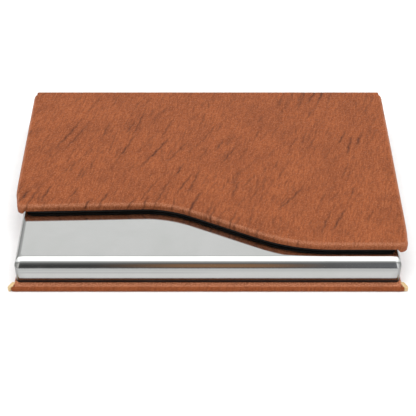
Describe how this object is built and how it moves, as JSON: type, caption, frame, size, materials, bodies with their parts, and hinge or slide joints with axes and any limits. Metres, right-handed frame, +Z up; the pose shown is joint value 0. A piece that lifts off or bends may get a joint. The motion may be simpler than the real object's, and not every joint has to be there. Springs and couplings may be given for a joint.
{
  "type": "business card holder",
  "caption": "Slim polished steel card case in a leather book cover, with a wave-cut flap that folds back on a two-crease spine and closes with magnets.",
  "frame": {"origin": "middle of the base's underside, at the centre of the closed holder's footprint", "axes": "+X along the width, to the right seen from the front lip; +Y towards the spine; +Z up through the flap"},
  "size_m": [0.098, 0.0684, 0.0107],
  "materials": {
    "leather": "fine-grained chestnut leather with rolled edges",
    "card": "dense cream board, raw at its cut edges",
    "lining": "matt black flocked lining",
    "steel": "stainless steel sheet, mirror polished outside",
    "tray": "black moulded plastic",
    "tape": "double-sided tissue tape",
    "magnet": "nickel plated"
  },
  "bodies": {
    "base": {"base_leather": "leather", "base_board": "card", "base_lining": "lining", "case_tape": "tape", "case_tray": "tray", "tray_liner": "lining", "case_top": "steel"},
    "spine": {"spine_leather": "leather", "spine_board": "card", "spine_lining": "lining"},
    "flap": {"flap_leather": "leather", "flap_board": "card", "flap_lining": "lining", "flap_magnets": "magnet"}
  },
  "joints": [
    {"name": "spine_fold", "type": "hinge", "parent": "base", "child": "spine", "pos_m": [0, 0.0338, 0.0004], "axis": [-1, 0, 0], "range_deg": [0, 90]},
    {"name": "flap_fold", "type": "hinge", "parent": "spine", "child": "flap", "pos_m": [0, 0.0338, 0.0103], "axis": [-1, 0, 0], "range_deg": [0, 90]}
  ]
}
